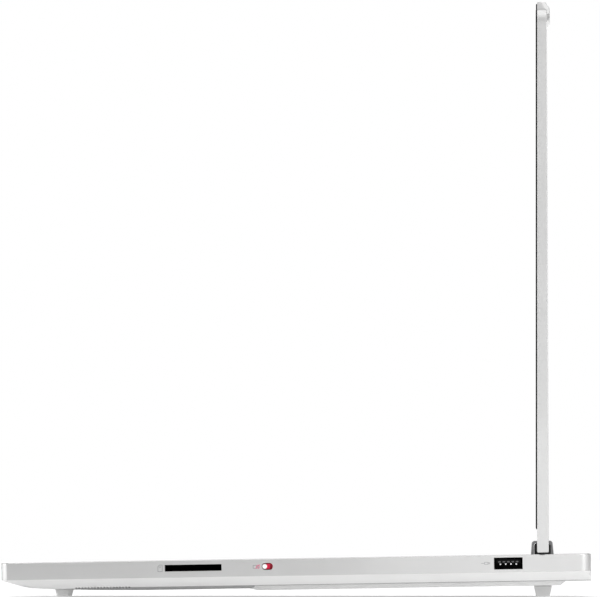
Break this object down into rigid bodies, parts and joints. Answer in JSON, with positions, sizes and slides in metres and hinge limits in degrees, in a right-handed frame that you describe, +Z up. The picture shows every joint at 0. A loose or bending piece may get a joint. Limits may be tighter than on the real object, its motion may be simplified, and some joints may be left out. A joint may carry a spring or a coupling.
{
  "type": "laptop computer",
  "caption": "Thin folding computer with a full keyboard, touchpad, side sockets, internal cooling and a screen lid on friction hinges that opens flat.",
  "frame": {"origin": "on the table, below the centre of the whole machine", "axes": "+X to the user's right along the hinge, +Y from the front edge to the rear, +Z up"},
  "size_m": [0.36, 0.2602, 0.2646],
  "materials": {
    "case_paint": "satin white paint on metal",
    "trim_black": "fine matt black",
    "screen_black": "smooth, slightly mirror-like",
    "board": "solder-mask green with pads",
    "chip": "matt black package",
    "copper": "bare copper, lightly brushed",
    "bare_steel": "bright plated steel",
    "dark_steel": "black oxide steel",
    "fin_metal": "thin bare fins",
    "hinge_grey": "mid-grey fine texture",
    "foot_rubber": "light grey matt rubber",
    "bumper_rubber": "soft dark rubber",
    "keycap": "white, dished, grey legends",
    "touch_glass": "silky white",
    "switch_red": "red switch marking",
    "cable": "woven black tape",
    "battery_wrap": "black film",
    "antenna_film": "copper-coloured film",
    "lens": "clear dark lens"
  },
  "bodies": {
    "base": {"top_case": "case_paint", "bottom_cover": "case_paint", "rear_grille": "trim_black", "intake_mesh": "trim_black", "motherboard": "board", "processor": "chip", "graphics_chip": "chip", "cooling_plate": "copper", "heat_pipes": "copper", "heatsinks": "fin_metal", "fan_housing_left": "trim_black", "fan_housing_right": "trim_black", "battery_pack": "battery_wrap", "memory_modules": "board", "storage_drives": "board", "wireless_card": "board", "speaker_left": "chip", "speaker_right": "chip", "usb_socket": "dark_steel", "usb_tongue": "trim_black", "card_reader": "dark_steel", "usb_c_sockets": "bare_steel", "hdmi_socket": "bare_steel", "audio_jack": "trim_black", "power_inlet": "trim_black", "side_board": "board", "keyboard_plate": "fin_metal", "front_foot": "foot_rubber", "rear_foot": "foot_rubber", "case_screws": "bare_steel", "hinge_bracket_left": "dark_steel", "hinge_bracket_right": "dark_steel", "hinge_covers": "hinge_grey", "power_board": "board", "display_cable": "cable"},
    "lid": {"lid_back_cover": "case_paint", "lid_bezel": "screen_black", "display_panel": "screen_black", "camera_module": "board", "camera_lens": "lens", "hinge_arm_left": "bare_steel", "hinge_arm_right": "bare_steel", "lid_gasket": "bumper_rubber", "antennas": "antenna_film", "arm_screws": "dark_steel", "display_cable_lid": "cable"},
    "fan_rotor_left": {"fan_rotor_left": "trim_black"},
    "fan_rotor_right": {"fan_rotor_right": "trim_black"},
    "shutter_slider": {"shutter_slider": "switch_red"},
    "touchpad": {"touchpad": "touch_glass"},
    "power_button": {"power_button": "case_paint"},
    "function_keys": {"function_keys": "keycap"},
    "number_keys": {"number_keys": "keycap"},
    "upper_row_keys": {"upper_row_keys": "keycap"},
    "home_row_keys": {"home_row_keys": "keycap"},
    "lower_row_keys": {"lower_row_keys": "keycap"},
    "bottom_row_keys": {"bottom_row_keys": "keycap"},
    "space_bar": {"space_bar": "keycap"},
    "arrow_keys": {"arrow_keys": "keycap"},
    "numpad_keys": {"numpad_keys": "keycap"}
  },
  "joints": [
    {"name": "lid_hinge", "type": "hinge", "parent": "base", "child": "lid", "pos_m": [0, 0.10848, 0.02225], "axis": [1, 0, 0], "range_deg": [-89, 90.9]},
    {"name": "fan_left_spin", "type": "hinge", "parent": "base", "child": "fan_rotor_left", "pos_m": [-0.092, 0.07404, 0.00924], "axis": [0, -0.0162, 0.9999], "continuous": true},
    {"name": "fan_right_spin", "type": "hinge", "parent": "base", "child": "fan_rotor_right", "pos_m": [0.092, 0.07404, 0.00924], "axis": [0, -0.0162, 0.9999], "continuous": true},
    {"name": "shutter_slide", "type": "slide", "parent": "base", "child": "shutter_slider", "axis": [0, 0.9999, 0.0162], "range_m": [0, 0.0017]},
    {"name": "touchpad_press", "type": "hinge", "parent": "base", "child": "touchpad", "pos_m": [0, -0.03556, 0.01476], "axis": [1, 0, 0], "range_deg": [0, 0.3], "stiffness_Nm_per_rad": 9, "springref_deg": -0.29},
    {"name": "power_press", "type": "slide", "parent": "base", "child": "power_button", "axis": [0, 0.0162, -0.9999], "range_m": [0, 0.0005], "stiffness_N_per_m": 800, "springref_m": -0.0005},
    {"name": "function_press", "type": "slide", "parent": "base", "child": "function_keys", "axis": [0, 0.0162, -0.9999], "range_m": [0, 0.0015], "stiffness_N_per_m": 5700, "springref_m": -0.001},
    {"name": "number_press", "type": "slide", "parent": "base", "child": "number_keys", "axis": [0, 0.0162, -0.9999], "range_m": [0, 0.0015], "stiffness_N_per_m": 4200, "springref_m": -0.001},
    {"name": "upper_row_press", "type": "slide", "parent": "base", "child": "upper_row_keys", "axis": [0, 0.0162, -0.9999], "range_m": [0, 0.0015], "stiffness_N_per_m": 4200, "springref_m": -0.001},
    {"name": "home_row_press", "type": "slide", "parent": "base", "child": "home_row_keys", "axis": [0, 0.0162, -0.9999], "range_m": [0, 0.0015], "stiffness_N_per_m": 3900, "springref_m": -0.001},
    {"name": "lower_row_press", "type": "slide", "parent": "base", "child": "lower_row_keys", "axis": [0, 0.0162, -0.9999], "range_m": [0, 0.0015], "stiffness_N_per_m": 3600, "springref_m": -0.001},
    {"name": "bottom_row_press", "type": "slide", "parent": "base", "child": "bottom_row_keys", "axis": [0, 0.0162, -0.9999], "range_m": [0, 0.0015], "stiffness_N_per_m": 1800, "springref_m": -0.001},
    {"name": "space_press", "type": "slide", "parent": "base", "child": "space_bar", "axis": [0, 0.0162, -0.9999], "range_m": [0, 0.0015], "stiffness_N_per_m": 300, "springref_m": -0.001},
    {"name": "arrow_press", "type": "slide", "parent": "base", "child": "arrow_keys", "axis": [0, 0.0162, -0.9999], "range_m": [0, 0.0015], "stiffness_N_per_m": 1200, "springref_m": -0.001},
    {"name": "numpad_press", "type": "slide", "parent": "base", "child": "numpad_keys", "axis": [0, 0.0162, -0.9999], "range_m": [0, 0.0015], "stiffness_N_per_m": 5100, "springref_m": -0.001}
  ]
}
